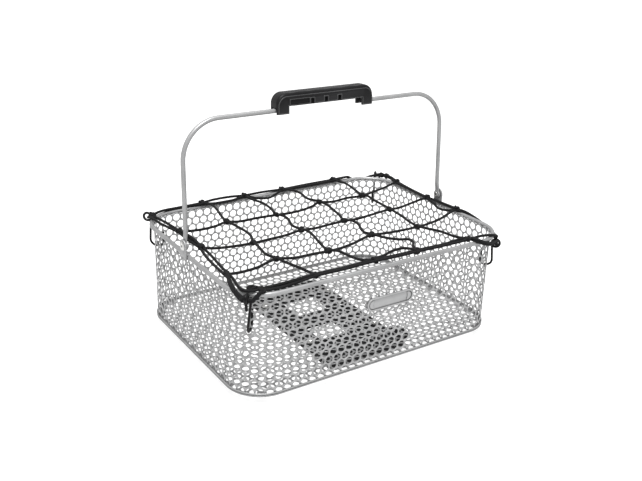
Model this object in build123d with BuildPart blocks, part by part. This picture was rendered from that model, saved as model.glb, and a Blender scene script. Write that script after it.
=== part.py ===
"""Bicycle rear-rack basket: perforated sheet body, folding bail handle, rack adapter and elastic cord net.

The origin is at the middle of the adapter's underside. +Z is up, +Y runs to the back wall, and X is the long side.
"""

from build123d import *
from math import cos, radians, sin, sqrt, tan
import os

os.makedirs("parts", exist_ok=True)

# ---- Driving dimensions, in millimetres ----

# Rack adapter under the floor
ADAPTER_HEIGHT = 10.0
ADAPTER_WIDTH = 123.0
ADAPTER_BACK = 107.0
ADAPTER_FRONT = -123.0
ADAPTER_RAIL = 14.0
ADAPTER_CORNER = 10.0
WEB_THICKNESS = 4.5
BACK_WINDOW = (-22.0, 21.0, 33.0, 71.0)  # left, front, right, back
FRONT_WINDOW = (-32.0, -54.0, 15.0, -11.0)

# Release tab, which slides in the adapter's front block
TAB_WIDTH = 30.0
TAB_CENTRE_Y = -92.0
TAB_THICKNESS = 4.0
TAB_INNER_END = 20.0
TAB_OUTER_END = 84.0
TAB_LOW = 3.0
TAB_TRAVEL = 6.0
TAB_CLEARANCE = 0.4
BLOCK_BACK = TAB_CENTRE_Y + TAB_WIDTH / 2 + 8
BLOCK_INNER = TAB_INNER_END - TAB_TRAVEL - 6

# Sheet body
RIM_LENGTH = 408.0  # rod centreline
RIM_WIDTH = 300.8
RIM_CORNER = 49.0
RIM_ROD = 6.0
SHEET = 1.2
FLOOR_LOW = ADAPTER_HEIGHT
RIM_HEIGHT = FLOOR_LOW + 137.6
WALL_TOP = RIM_HEIGHT + 1.9
WALL_OUTSET = -RIM_ROD / 2 + 0.1  # wall's outer face from the rod centreline
HEM_OUTSET = WALL_OUTSET + 1.7
HEM_HEIGHT = 5.0
HEM_CHAMFER = 0.8
RIB_OFFSETS = (-142.0, -67.0, 67.0, 142.0)
RIB_LENGTH = 236.0
RIB_WIDTH = 7.0
RIB_HEIGHT = 1.8

# Bail handle and its pivots
PIVOT_HEIGHT = RIM_HEIGHT + 13.4
BAIL_LEAN = 2.7  # degrees towards the back
BAIL_ROD = 6.0
BAIL_FOOT_X = 203.7
BAIL_TOP_X = 201.5
BAIL_RISE = 154.8
BAIL_CORNER = 50.0
BAIL_STEP = 9.7  # how far the middle of the bar stands above its ends
BAIL_STEP_START = 68.5
BAIL_STEP_END = 57.0
BAIL_STEP_CORNER = 6.0
EYE_RADIUS = 6.0
EYE_THICKNESS = 3.0
EYE_CENTRE_X = BAIL_FOOT_X + 1.3
LEG_START = 7.0
NECK_TOP = 13.0
NECK_WIDTH = 7.6
STRAP_THICKNESS = 2.0
STRAP_RADIUS = 8.5
STRAP_INNER = RIM_LENGTH / 2 + RIM_ROD / 2 - 0.1
STRAP_LOW = RIM_HEIGHT - 3.0
RIVET_RADIUS = 2.5
RIVET_BORE = 1.5
RIVET_HEAD = 6.0
RIVET_HEAD_THICKNESS = 1.4
RIVET_LIP = 4.2
EYE_CLEARANCE = 0.05
SIDE_GAP = 0.3

# Hand grip
GRIP_LENGTH = 149.0
GRIP_DEPTH = 17.0
GRIP_WALL = 3.0
GRIP_TOP = 177.0  # all heights of the grip are from the pivot axis, along the legs
GRIP_FOOT_LOW = 150.5
GRIP_MIDDLE_LOW = 160.4
GRIP_FOOT = 17.5
GRIP_END_RADIUS = 14.0
GRIP_EDGE = 4.0
GRIP_EXIT_TOP = 158.6
GRIP_RIBS = (-40.0, 0.0, 40.0)
GRIP_RIB = 2.0
GRIP_NOTCHES = (-22.0, -1.0, 20.0)
GRIP_NOTCH_WIDTH = 5.0
GRIP_NOTCH_HEIGHT = 7.5
GRIP_LABEL = (-41.0, 165.0, 29.0, 6.5)  # centre x, centre height, length, height
GRIP_LABEL_DEPTH = 0.8

# Name badge, left blank
BADGE_X = 7.3
BADGE_HEIGHT = FLOOR_LOW + 87.0
BADGE_LENGTH = 73.0
BADGE_DEPTH = 18.5
BADGE_THICKNESS = 2.4
BADGE_BORDER = 2.2
BADGE_RECESS = 0.9
BADGE_PAD_INSET = 3.2
BADGE_PAD_X = 26.0

# Adapter fasteners
SCREW_SPOTS = [(-54.0, -60.0), (54.0, -60.0), (-54.0, 60.0), (54.0, 60.0)]
SCREW_RADIUS = 2.5
SCREW_HOLE = 2.7
SCREW_HEAD = 4.75
SCREW_HEAD_HEIGHT = 2.8
WASHER_RADIUS = 6.0
WASHER_THICKNESS = 1.0
NUT_FLATS = 8.0
NUT_HEIGHT = 4.0
NUT_LOW = 2.0

# Elastic net
CORD = 3.0
CORD_GAP = 0.2
BORDER_LEVEL = RIM_HEIGHT + RIM_ROD / 2 + CORD / 2 + CORD_GAP
LONG_LEVEL = BORDER_LEVEL - 1.2
SHORT_LEVEL = LONG_LEVEL + CORD + CORD_GAP
STRAND_SPREAD = 2.0
KNOT = 3.2
KNOT_LEVEL = RIM_HEIGHT + RIM_ROD / 2 + KNOT + CORD_GAP
INNER_KNOTS = [
    [(-112.8, 69.3), (-39.0, 60.0), (42.9, 74.8), (116.2, 68.1)],
    [(-117.0, -14.4), (-38.6, -5.7), (31.8, -5.8), (116.0, 1.1)],
    [(-117.3, -73.4), (-47.0, -83.8), (33.7, -66.4), (107.1, -73.4)],
]
BACK_KNOTS = [(-110.6, 149.8), (-41.3, 149.6), (21.6, 147.5), (117.9, 149.7)]
FRONT_KNOTS = [(-164.0, -139.5), (-102.6, -139.3), (-13.6, -138.7), (50.7, -141.1), (138.0, -140.4)]
LEFT_KNOTS = [(-184.6, 64.7), (-183.0, 1.8), (-192.5, -85.2)]
RIGHT_KNOTS = [(202.5, 94.5), (196.5, 11.9), (202.0, -47.6)]
# Third cord's slack bow between its last inner knot and the front border
SLACK_BOW = [(62.0, -88.0), (72.0, -105.0), (68.0, -124.0)]

# Net hooks: side of X, side of Y, ring out from the rim rod, ring height, leg out, lowest point, inner leg, inner tip
HOOK_WIRE = 2.5
HOOK_RING = 5.4
HOOKS = {
    "hook_back_left": (-1, 1, 9.8, 150.4, 7.5, 108.6, -12.5, 129.0),
    "hook_back_right": (1, 1, 9.8, 150.4, 6.5, 108.6, -10.0, 130.0),
    "hook_front_left": (-1, -1, 9.8, 146.5, 7.5, 101.0, -12.5, 122.0),
    "hook_front_right": (1, -1, 5.5, 134.3, 3.6, 101.6, -12.9, 120.0),
}
HOOK_HOLE = 10.0
HOOK_BEND = 0.9

CORNER_X = RIM_LENGTH / 2 - RIM_CORNER * (1 - sqrt(0.5))
CORNER_Y = RIM_WIDTH / 2 - RIM_CORNER * (1 - sqrt(0.5))


# ---- Shared shapes ----


def save(part, name):
    """Labels a finished piece and writes it under its own name."""
    part.label = name
    export_step(part, f"parts/{name}.step")


def ring_outline(outset):
    """A rounded rectangle that stands the same distance outside the rim's centreline all round."""
    RectangleRounded(RIM_LENGTH + 2 * outset, RIM_WIDTH + 2 * outset, RIM_CORNER + outset)


def corner_point(side_x, side_y, out):
    """A point on the diagonal of one corner, a distance outside the rim's centreline."""
    step = out * sqrt(0.5)
    return (side_x * (CORNER_X + step), side_y * (CORNER_Y + step))


def bend_radii(points):
    """The largest arc that fits at each inner corner of a route."""
    radii = []
    for before, here, after in zip(points, points[1:], points[2:]):
        arriving = Vector(here) - Vector(before)
        leaving = Vector(after) - Vector(here)
        turn = radians(arriving.get_angle(leaving))
        radii.append(0.45 * min(arriving.length, leaving.length) / tan(turn / 2))
    return radii


def tube(points, diameter, radius=None):
    """A round rod or cord along straight runs joined by tangent arcs."""
    with BuildPart() as rod:
        with BuildLine() as route:
            if len(points) == 2:
                Line(*points)
            else:
                FilletPolyline(*points, radius=radius or bend_radii(points))
        with BuildSketch(Plane(origin=points[0], z_dir=route.line % 0)):
            Circle(diameter / 2)
        sweep()
    return rod.part


def at_level(spots, level):
    return [(x, y, level) for x, y in spots]


# ---- Rim rod, welded into a ring ----

with BuildPart() as rim_rod:
    with BuildLine(Plane.XY.offset(RIM_HEIGHT)) as rim_route:
        half_x = RIM_LENGTH / 2
        half_y = RIM_WIDTH / 2
        corners = [(half_x, half_y), (-half_x, half_y), (-half_x, -half_y), (half_x, -half_y)]
        FilletPolyline(*corners, radius=RIM_CORNER, close=True)
    with BuildSketch(Plane(origin=rim_route.line @ 0, z_dir=rim_route.line % 0)):
        Circle(RIM_ROD / 2)
    sweep()
save(rim_rod.part, "rim_rod")

# ---- Perforated wall, drawn as one plain sheet wrapped round the basket ----

with BuildPart() as wall_mesh:
    with BuildSketch(Plane.XY.offset(FLOOR_LOW + SHEET)):
        ring_outline(WALL_OUTSET)
        with BuildSketch(mode=Mode.PRIVATE) as inside:
            ring_outline(WALL_OUTSET - SHEET)
        add(inside.sketch, mode=Mode.SUBTRACT)
    extrude(amount=WALL_TOP - FLOOR_LOW - SHEET)
    for side_x, side_y, _, _, _, lowest, _, _ in HOOKS.values():
        hole_x, hole_y = corner_point(side_x, side_y, WALL_OUTSET - HOOK_HOLE)
        with BuildSketch(Plane(origin=(hole_x, hole_y, lowest), z_dir=(side_x, side_y, 0))):
            Circle(HOOK_HOLE / 2)
        extrude(amount=2 * HOOK_HOLE, mode=Mode.SUBTRACT)
save(wall_mesh.part, "wall_mesh")

# ---- Floor sheet with four pressed ribs ----

with BuildPart() as floor_mesh:
    with BuildSketch(Plane.XY.offset(FLOOR_LOW)):
        ring_outline(WALL_OUTSET)
        with Locations(*SCREW_SPOTS):
            Circle(SCREW_HOLE, mode=Mode.SUBTRACT)
    extrude(amount=SHEET)
    with BuildSketch(Plane.XY.offset(FLOOR_LOW + SHEET)):
        with Locations(*[(x, 0) for x in RIB_OFFSETS]):
            SlotOverall(RIB_LENGTH, RIB_WIDTH, rotation=90)
    extrude(amount=RIB_HEIGHT, taper=30)
save(floor_mesh.part, "floor_mesh")

# ---- Hem: the folded strip that joins wall and floor ----

with BuildPart() as base_hem:
    with BuildSketch(Plane.XY.offset(FLOOR_LOW)):
        ring_outline(HEM_OUTSET)
        with BuildSketch(mode=Mode.PRIVATE) as hem_inside:
            ring_outline(WALL_OUTSET)
        add(hem_inside.sketch, mode=Mode.SUBTRACT)
    extrude(amount=HEM_HEIGHT)
    for rim_face in base_hem.faces().filter_by(Axis.Z):
        chamfer(rim_face.outer_wire().edges(), HEM_CHAMFER)
save(base_hem.part, "base_hem")

# ---- Rack adapter: rails, cross webs and a front block that holds the release tab ----

with BuildPart() as adapter_plate:
    with BuildSketch():
        with Locations((0, (ADAPTER_BACK + ADAPTER_FRONT) / 2)):
            RectangleRounded(ADAPTER_WIDTH, ADAPTER_BACK - ADAPTER_FRONT, ADAPTER_CORNER)
    extrude(amount=ADAPTER_HEIGHT)
    inner_width = ADAPTER_WIDTH - 2 * ADAPTER_RAIL
    pocket_front = BLOCK_BACK
    pocket_back = ADAPTER_BACK - ADAPTER_RAIL
    with BuildSketch(Plane.XY.offset(WEB_THICKNESS)):
        with Locations((0, (pocket_front + pocket_back) / 2)):
            Rectangle(inner_width, pocket_back - pocket_front)
    extrude(amount=ADAPTER_HEIGHT - WEB_THICKNESS, mode=Mode.SUBTRACT)
    with BuildSketch():
        for left, front, right, back in (BACK_WINDOW, FRONT_WINDOW):
            with Locations(((left + right) / 2, (front + back) / 2)):
                RectangleRounded(right - left, back - front, 3)
    extrude(amount=ADAPTER_HEIGHT, mode=Mode.SUBTRACT)
    slot_inner = BLOCK_INNER
    slot_outer = ADAPTER_WIDTH / 2 + 1
    with BuildSketch(Plane.XY.offset(TAB_LOW - TAB_CLEARANCE)):
        with Locations(((slot_inner + slot_outer) / 2, TAB_CENTRE_Y)):
            Rectangle(slot_outer - slot_inner, TAB_WIDTH + 2 * TAB_CLEARANCE)
    extrude(amount=TAB_THICKNESS + 2 * TAB_CLEARANCE, mode=Mode.SUBTRACT)
    with BuildSketch():
        with Locations(*SCREW_SPOTS):
            Circle(SCREW_HOLE)
    extrude(amount=ADAPTER_HEIGHT, mode=Mode.SUBTRACT)
    with BuildSketch():
        with Locations(*SCREW_SPOTS):
            RegularPolygon(NUT_FLATS / 2, 6, major_radius=False)
    extrude(amount=NUT_LOW + NUT_HEIGHT, mode=Mode.SUBTRACT)
save(adapter_plate.part, "adapter_plate")

with BuildPart() as release_tab:
    with BuildSketch(Plane.XY.offset(TAB_LOW)):
        with Locations(((TAB_INNER_END + TAB_OUTER_END) / 2, TAB_CENTRE_Y)):
            Rectangle(TAB_OUTER_END - TAB_INNER_END, TAB_WIDTH)
    extrude(amount=TAB_THICKNESS)
    outer_corners = release_tab.edges().filter_by(Axis.Z).group_by(Axis.X)[-1]
    fillet(outer_corners, TAB_WIDTH / 3)
save(release_tab.part, "release_tab")

# ---- Adapter fasteners: pan-head screws with washers on the floor and nuts in the rails ----

washer_low = FLOOR_LOW + SHEET
head_low = washer_low + WASHER_THICKNESS

with BuildPart() as adapter_washers:
    with BuildSketch(Plane.XY.offset(washer_low)):
        with Locations(*SCREW_SPOTS):
            Circle(WASHER_RADIUS)
            Circle(SCREW_HOLE, mode=Mode.SUBTRACT)
    extrude(amount=WASHER_THICKNESS)
save(adapter_washers.part, "adapter_washers")

with BuildPart() as adapter_screws:
    with BuildSketch(Plane.XY.offset(NUT_LOW)):
        with Locations(*SCREW_SPOTS):
            Circle(SCREW_RADIUS)
    extrude(amount=head_low - NUT_LOW)
    with BuildSketch(Plane.XY.offset(head_low)):
        with Locations(*SCREW_SPOTS):
            Circle(SCREW_HEAD)
    extrude(amount=SCREW_HEAD_HEIGHT)
    fillet(adapter_screws.edges().group_by(Axis.Z)[-1], SCREW_HEAD_HEIGHT / 2)
    with BuildSketch(Plane.XY.offset(head_low + SCREW_HEAD_HEIGHT)):
        with Locations(*SCREW_SPOTS):
            RegularPolygon(SCREW_RADIUS * 0.6, 6, major_radius=False)
    extrude(amount=-SCREW_HEAD_HEIGHT / 2, mode=Mode.SUBTRACT)
save(adapter_screws.part, "adapter_screws")

with BuildPart() as adapter_nuts:
    with BuildSketch(Plane.XY.offset(NUT_LOW)):
        with Locations(*SCREW_SPOTS):
            RegularPolygon(NUT_FLATS / 2 - 0.05, 6, major_radius=False)
            Circle(SCREW_RADIUS, mode=Mode.SUBTRACT)
    extrude(amount=NUT_HEIGHT)
save(adapter_nuts.part, "adapter_nuts")

# ---- Pivot straps and rivets, one of each per side ----


def pivot_strap(side):
    with BuildPart() as strap:
        with BuildSketch(Plane(origin=(side * STRAP_INNER, 0, 0), x_dir=(0, side, 0), z_dir=(side, 0, 0))):
            with Locations((0, (STRAP_LOW + PIVOT_HEIGHT) / 2)):
                Rectangle(2 * STRAP_RADIUS, PIVOT_HEIGHT - STRAP_LOW)
            with Locations((0, PIVOT_HEIGHT)):
                Circle(STRAP_RADIUS)
                Circle(RIVET_RADIUS, mode=Mode.SUBTRACT)
        extrude(amount=STRAP_THICKNESS)
    return strap.part


def pivot_rivet(side):
    """A tubular rivet: flat head outside the strap, rolled lip inside the bail's eye."""
    eye_inner = EYE_CENTRE_X - EYE_THICKNESS / 2
    lip_start = eye_inner - SIDE_GAP
    head_start = STRAP_INNER + STRAP_THICKNESS
    with BuildPart() as rivet:
        with BuildSketch(Plane(origin=(side * lip_start, 0, PIVOT_HEIGHT), z_dir=(-side, 0, 0))):
            Circle(RIVET_LIP)
        extrude(amount=RIVET_HEAD_THICKNESS)
        with BuildSketch(Plane(origin=(side * lip_start, 0, PIVOT_HEIGHT), z_dir=(side, 0, 0))):
            Circle(RIVET_RADIUS)
        extrude(amount=head_start - lip_start)
        with BuildSketch(Plane(origin=(side * head_start, 0, PIVOT_HEIGHT), z_dir=(side, 0, 0))):
            Circle(RIVET_HEAD)
        extrude(amount=RIVET_HEAD_THICKNESS)
        mouth = (side * (lip_start - RIVET_HEAD_THICKNESS), 0, PIVOT_HEIGHT)
        with BuildSketch(Plane(origin=mouth, z_dir=(side, 0, 0))):
            Circle(RIVET_BORE)
        extrude(amount=head_start - lip_start, mode=Mode.SUBTRACT)
    return rivet.part


for side_name, side in (("left", -1), ("right", 1)):
    save(pivot_strap(side), f"pivot_strap_{side_name}")
    save(pivot_rivet(side), f"pivot_rivet_{side_name}")

# ---- Bail: one bent rod whose flattened ends are eyes ----

lean = radians(BAIL_LEAN)
pivot_point = (0, 0, PIVOT_HEIGHT)
# Upright plane of the bail: its X is the basket's X and its Y runs up along the legs
bail_plane = Plane(origin=pivot_point, x_dir=(1, 0, 0), z_dir=(0, -cos(lean), sin(lean)))


def in_bail(x, up):
    return bail_plane.from_local_coords((x, up, 0))


with BuildPart() as bail:
    half_route = [
        (BAIL_FOOT_X, LEG_START),
        (BAIL_TOP_X, BAIL_RISE),
        (BAIL_STEP_START, BAIL_RISE),
        (BAIL_STEP_END, BAIL_RISE + BAIL_STEP),
    ]
    other_half = [(-x, up) for x, up in reversed(half_route)]
    bail_points = [in_bail(x, up) for x, up in half_route + other_half]
    bends = [BAIL_CORNER, BAIL_STEP_CORNER, BAIL_STEP_CORNER]
    add(tube(bail_points, BAIL_ROD, bends + bends[::-1]))
    for side in (-1, 1):
        across = (0, side * cos(lean), -side * sin(lean))
        eye_inner = side * (EYE_CENTRE_X - EYE_THICKNESS / 2)
        with BuildSketch(Plane(origin=(eye_inner, 0, PIVOT_HEIGHT), x_dir=across, z_dir=(side, 0, 0))):
            Circle(EYE_RADIUS)
            with Locations((0, NECK_TOP / 2)):
                Rectangle(NECK_WIDTH, NECK_TOP)
            Circle(RIVET_RADIUS + EYE_CLEARANCE, mode=Mode.SUBTRACT)
        extrude(amount=EYE_THICKNESS)
save(bail.part, "bail")

# ---- Hand grip: a moulded channel snapped over the raised middle of the bar ----

with BuildPart() as grip_shell:
    half_length = GRIP_LENGTH / 2
    foot_inner = half_length - GRIP_FOOT
    cavity_depth = GRIP_DEPTH - 2 * GRIP_WALL
    cavity_top = GRIP_TOP - GRIP_WALL
    with BuildSketch(bail_plane) as grip_side:
        with BuildLine():
            Polyline(
                (-half_length, GRIP_FOOT_LOW),
                (-half_length, GRIP_TOP),
                (half_length, GRIP_TOP),
                (half_length, GRIP_FOOT_LOW),
                (foot_inner, GRIP_FOOT_LOW),
                (foot_inner, GRIP_MIDDLE_LOW),
                (-foot_inner, GRIP_MIDDLE_LOW),
                (-foot_inner, GRIP_FOOT_LOW),
                close=True,
            )
        make_face()
        fillet(grip_side.vertices().group_by(Axis.Y)[-1], GRIP_END_RADIUS)
    extrude(amount=GRIP_DEPTH / 2, both=True)
    long_edges = grip_shell.edges().filter_by(Axis.X).group_by(Axis.Z)[-1]
    fillet(long_edges, GRIP_EDGE)
    with BuildSketch(bail_plane) as cavity_side:
        with Locations((0, (GRIP_FOOT_LOW + cavity_top) / 2)):
            Rectangle(GRIP_LENGTH - 2 * GRIP_WALL, cavity_top - GRIP_FOOT_LOW)
        fillet(cavity_side.vertices().group_by(Axis.Y)[-1], GRIP_END_RADIUS - GRIP_WALL)
        with Locations((0, (GRIP_FOOT_LOW + GRIP_EXIT_TOP) / 2)):
            Rectangle(GRIP_LENGTH, GRIP_EXIT_TOP - GRIP_FOOT_LOW)
    extrude(amount=cavity_depth / 2, both=True, mode=Mode.SUBTRACT)
    rib_low = BAIL_RISE + BAIL_STEP + BAIL_ROD / 2
    with BuildSketch(bail_plane):
        with Locations(*[(x, (rib_low + cavity_top) / 2) for x in GRIP_RIBS]):
            Rectangle(GRIP_RIB, cavity_top - rib_low + GRIP_RIB / 2)
    extrude(amount=cavity_depth / 2 + GRIP_RIB / 2, both=True)
    front_wall = bail_plane.offset(cavity_depth / 2 - GRIP_WALL / 2)
    with BuildSketch(front_wall):
        for x in GRIP_NOTCHES:
            with Locations((x, GRIP_MIDDLE_LOW)):
                SlotOverall(2 * GRIP_NOTCH_HEIGHT, GRIP_NOTCH_WIDTH, rotation=90)
    extrude(amount=2 * GRIP_WALL, mode=Mode.SUBTRACT)
    label_x, label_up, label_length, label_height = GRIP_LABEL
    with BuildSketch(bail_plane.offset(GRIP_DEPTH / 2)):
        with Locations((label_x, label_up)):
            RectangleRounded(label_length, label_height, 1)
    extrude(amount=-GRIP_LABEL_DEPTH, mode=Mode.SUBTRACT)
save(grip_shell.part, "grip_shell")

# ---- Name badge: a blank stadium plate with a raised border and a raised pad at each end ----

badge_face = RIM_WIDTH / 2 + WALL_OUTSET
badge_plane = Plane(origin=(BADGE_X, -badge_face, BADGE_HEIGHT), x_dir=(1, 0, 0), z_dir=(0, -1, 0))

with BuildPart() as badge_plate:
    with BuildSketch(badge_plane):
        SlotOverall(BADGE_LENGTH, BADGE_DEPTH)
    extrude(amount=BADGE_THICKNESS)
    with BuildSketch(badge_plane.offset(BADGE_THICKNESS)):
        SlotOverall(BADGE_LENGTH - 2 * BADGE_BORDER, BADGE_DEPTH - 2 * BADGE_BORDER)
    extrude(amount=-BADGE_RECESS, mode=Mode.SUBTRACT)
    with BuildSketch(badge_plane.offset(BADGE_THICKNESS - BADGE_RECESS)):
        SlotOverall(BADGE_LENGTH - 2 * BADGE_PAD_INSET, BADGE_DEPTH - 2 * BADGE_PAD_INSET)
        Rectangle(2 * BADGE_PAD_X, BADGE_DEPTH, mode=Mode.SUBTRACT)
    extrude(amount=BADGE_RECESS / 2)
save(badge_plate.part, "badge_plate")

# ---- Net hooks: an eye ring above a long J that goes through one hole near each corner ----


def net_hook(side_x, side_y, ring_out, ring_height, leg_out, lowest, inner_out, tip):
    corner = (side_x * CORNER_X, side_y * CORNER_Y, 0)
    side_plane = Plane(origin=corner, x_dir=(side_x, side_y, 0), z_dir=(side_y, -side_x, 0))
    bend = HOOK_BEND * (leg_out - inner_out) / 2
    with BuildPart() as hook:
        with BuildLine(side_plane) as wire:
            ring_bottom = (ring_out, ring_height - HOOK_RING)
            FilletPolyline(ring_bottom, (leg_out, lowest), (inner_out, lowest), (inner_out, tip), radius=bend)
        with BuildSketch(Plane(origin=wire.line @ 0, z_dir=wire.line % 0)):
            Circle(HOOK_WIRE / 2)
        sweep()
        ring_centre = side_plane.from_local_coords((ring_out, ring_height, 0))
        with Locations(Plane(origin=ring_centre, x_dir=(0, 0, 1), z_dir=side_plane.z_dir)):
            Torus(HOOK_RING, HOOK_WIRE / 2)
    return hook.part


for hook_name, hook_sizes in HOOKS.items():
    save(net_hook(*hook_sizes), hook_name)

# ---- Elastic net: two border strands, three long and four short cords, and a knot at each crossing ----

long_ends = zip(LEFT_KNOTS, RIGHT_KNOTS)
for number, (row, ends) in enumerate(zip(INNER_KNOTS, long_ends), start=1):
    start, end = at_level(ends, BORDER_LEVEL)
    save(tube([start, *at_level(row, LONG_LEVEL), end], CORD), f"net_long_{number}")

for number, column in enumerate(zip(*INNER_KNOTS), start=1):
    bow = SLACK_BOW if number == 3 else []
    route = at_level([BACK_KNOTS[number - 1], *column, *bow, FRONT_KNOTS[number]], SHORT_LEVEL)
    save(tube(route, CORD), f"net_short_{number}")

ring_ends = {}
for hook_name, (side_x, side_y, ring_out, *_) in HOOKS.items():
    ring_ends[hook_name] = corner_point(side_x, side_y, ring_out - HOOK_RING)
net_sides = {
    "back": [ring_ends["hook_back_left"], *BACK_KNOTS, ring_ends["hook_back_right"]],
    "right": [ring_ends["hook_back_right"], *RIGHT_KNOTS, ring_ends["hook_front_right"]],
    "front": [ring_ends["hook_front_right"], *FRONT_KNOTS[::-1], ring_ends["hook_front_left"]],
    "left": [ring_ends["hook_front_left"], *LEFT_KNOTS[::-1], ring_ends["hook_back_left"]],
}


def border_strands(spots):
    """Two strands side by side that lie a little apart between the corners."""
    start, end = Vector(*spots[0]), Vector(*spots[-1])
    sideways = (end - start).normalized().rotate(Axis.Z, 90) * STRAND_SPREAD
    strands = []
    for side in (-1, 1):
        shifted = [(x + side * sideways.X, y + side * sideways.Y) for x, y in spots]
        strands.append(tube(at_level(shifted, BORDER_LEVEL), CORD))
    return Compound(children=strands)


for side_name, spots in net_sides.items():
    save(border_strands(spots), f"net_border_{side_name}")


def knots(spots, level):
    with BuildPart() as knot_group:
        with Locations(*at_level(spots, level)):
            Sphere(KNOT)
    return knot_group.part


save(knots([spot for row in INNER_KNOTS for spot in row], BORDER_LEVEL), "net_knots_inner")
border_spots = [spot for spots in net_sides.values() for spot in spots[:-1]]
save(knots(border_spots, KNOT_LEVEL), "net_knots_border")
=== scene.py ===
"""Looks for the bicycle rear-rack basket: perforated sheet, rods, moulded grip and a knotted cord net.

Everything is in metres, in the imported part's own frame: +Z up, +Y to the back wall, X along the basket.
"""

import math

import bmesh
import bpy
import numpy as np
from mathutils import Matrix, Vector


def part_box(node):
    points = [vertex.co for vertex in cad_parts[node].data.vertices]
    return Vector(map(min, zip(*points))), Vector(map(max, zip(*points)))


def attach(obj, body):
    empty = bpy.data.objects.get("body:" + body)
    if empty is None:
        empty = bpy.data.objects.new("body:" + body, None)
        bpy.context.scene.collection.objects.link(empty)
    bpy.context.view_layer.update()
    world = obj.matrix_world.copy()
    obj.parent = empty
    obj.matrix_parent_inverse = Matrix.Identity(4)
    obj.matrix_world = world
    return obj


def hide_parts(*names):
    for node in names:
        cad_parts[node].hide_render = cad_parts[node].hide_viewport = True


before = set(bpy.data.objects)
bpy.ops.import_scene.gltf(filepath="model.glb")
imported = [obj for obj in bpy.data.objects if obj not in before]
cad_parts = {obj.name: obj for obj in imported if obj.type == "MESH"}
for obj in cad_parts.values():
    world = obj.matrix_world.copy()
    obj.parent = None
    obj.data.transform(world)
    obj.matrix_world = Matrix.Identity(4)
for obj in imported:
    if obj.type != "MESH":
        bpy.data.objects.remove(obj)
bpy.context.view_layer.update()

# ---- Sizes read from the frame ----

rim_low, rim_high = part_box("rim_rod")
ROD = (rim_high.z - rim_low.z) / 2
RIM_Z = (rim_high.z + rim_low.z) / 2
RIM_X = rim_high.x - ROD  # half length of the rod's centreline
RIM_Y = rim_high.y - ROD
RIM_CORNER = 0.049
wall_low, wall_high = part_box("wall_mesh")
SHEET = 0.0012
WALL_OUTSET = wall_high.x - RIM_X  # wall's outer face from the rod's centreline
WALL_MIDDLE = WALL_OUTSET - SHEET / 2
FLOOR_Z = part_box("floor_mesh")[0].z
hem_low, hem_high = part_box("base_hem")
HEM_OUTSET = hem_high.x - RIM_X
strap_low, strap_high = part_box("pivot_strap_right")
STRAP_RADIUS = strap_high.y
PIVOT_Z = strap_high.z - STRAP_RADIUS
STRAP_INNER = strap_low.x
STRAP_OUTER = strap_high.x

# Perforation: round holes in staggered rows
PITCH = 0.012
ROW = PITCH * math.sqrt(3) / 2
HOLE = 0.005
HOLE_ROUND = 0.0003
HOLE_SIDES = 24
TOP_ROW_Z = FLOOR_Z + 0.130
SHEET_TOP = RIM_Z + 0.0006
BACK_PHASE = 0.0045
FLOOR_BACK_ROW = 0.1415
FLOOR_MARGIN = 0.0058
RIBS = (-0.142, -0.067, 0.067, 0.142)
RIB_HALF_LENGTH = 0.118
RIB_HALF_WIDTH = 0.0045
RIB_HEIGHT = 0.0022
RIB_STEEPNESS = 2.5


# ---- Mesh helpers ----


def make_object(name, shape, material, body, replaced, sharp=40):
    """A smooth-shaded piece that rides on a body; shape is its vertices, its faces and perhaps its UVs."""
    vertices, faces, *uvs = shape
    mesh = bpy.data.meshes.new(name)
    mesh.from_pydata([tuple(v) for v in vertices], [], [tuple(f) for f in faces])
    if uvs:
        layer = mesh.uv_layers.new(name="UVMap")
        loops = np.empty(len(mesh.loops), np.int32)
        mesh.loops.foreach_get("vertex_index", loops)
        layer.data.foreach_set("uv", np.asarray(uvs[0], np.float32)[loops].ravel())
    mesh.validate()
    mesh.update()
    piece = bpy.data.objects.new(name, mesh)
    bpy.context.scene.collection.objects.link(piece)
    mesh.polygons.foreach_set("use_smooth", [True] * len(mesh.polygons))
    mesh.set_sharp_from_angle(angle=math.radians(sharp))
    mesh.materials.append(material)
    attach(piece, body)
    if replaced:
        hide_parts(*replaced)


def steel_piece(name, shape, material, node, body="basket", sharp=40):
    """A piece of coated steel that stands for one CAD node."""
    make_object(name, shape, material, body, [node], sharp)


def joined(parts):
    """Several shapes as one, without their UVs."""
    vertices, faces, start = [], [], 0
    for part_vertices, part_faces, *_ in parts:
        vertices.extend(part_vertices)
        faces.extend([tuple(i + start for i in face) for face in part_faces])
        start += len(part_vertices)
    return vertices, faces


def skin(rings, closed_around=True, closed_along=False, caps=True):
    """Quads between rings of equal length, with flat ends where the row of rings is open."""
    count, size = len(rings), len(rings[0])
    vertices = [v for ring in rings for v in ring]
    faces = []
    for i in range(count if closed_along else count - 1):
        a, b = i * size, ((i + 1) % count) * size
        for j in range(size if closed_around else size - 1):
            k = (j + 1) % size
            faces.append((a + j, a + k, b + k, b + j))
    if caps and not closed_along:
        faces.append(tuple(reversed(range(size))))
        faces.append(tuple(range((count - 1) * size, count * size)))
    return vertices, faces


# The wall's loop, from the middle of the back: half a straight, a corner, a straight, and so on round
STRAIGHT_X, STRAIGHT_Y = RIM_X - RIM_CORNER, RIM_Y - RIM_CORNER  # half of each
LOOP_CORNER = RIM_CORNER + WALL_MIDDLE
ARC = LOOP_CORNER * math.pi / 2
LOOP_SPANS = [STRAIGHT_X, ARC, 2 * STRAIGHT_Y, ARC, 2 * STRAIGHT_X, ARC, 2 * STRAIGHT_Y, ARC, STRAIGHT_X]
LOOP_STEPS = (6, 20, 8, 20, 12, 20, 8, 20, 6)
LOOP_LENGTH = 4 * (RIM_X + RIM_Y - 2 * RIM_CORNER) + 2 * math.pi * (RIM_CORNER + WALL_MIDDLE)


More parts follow.
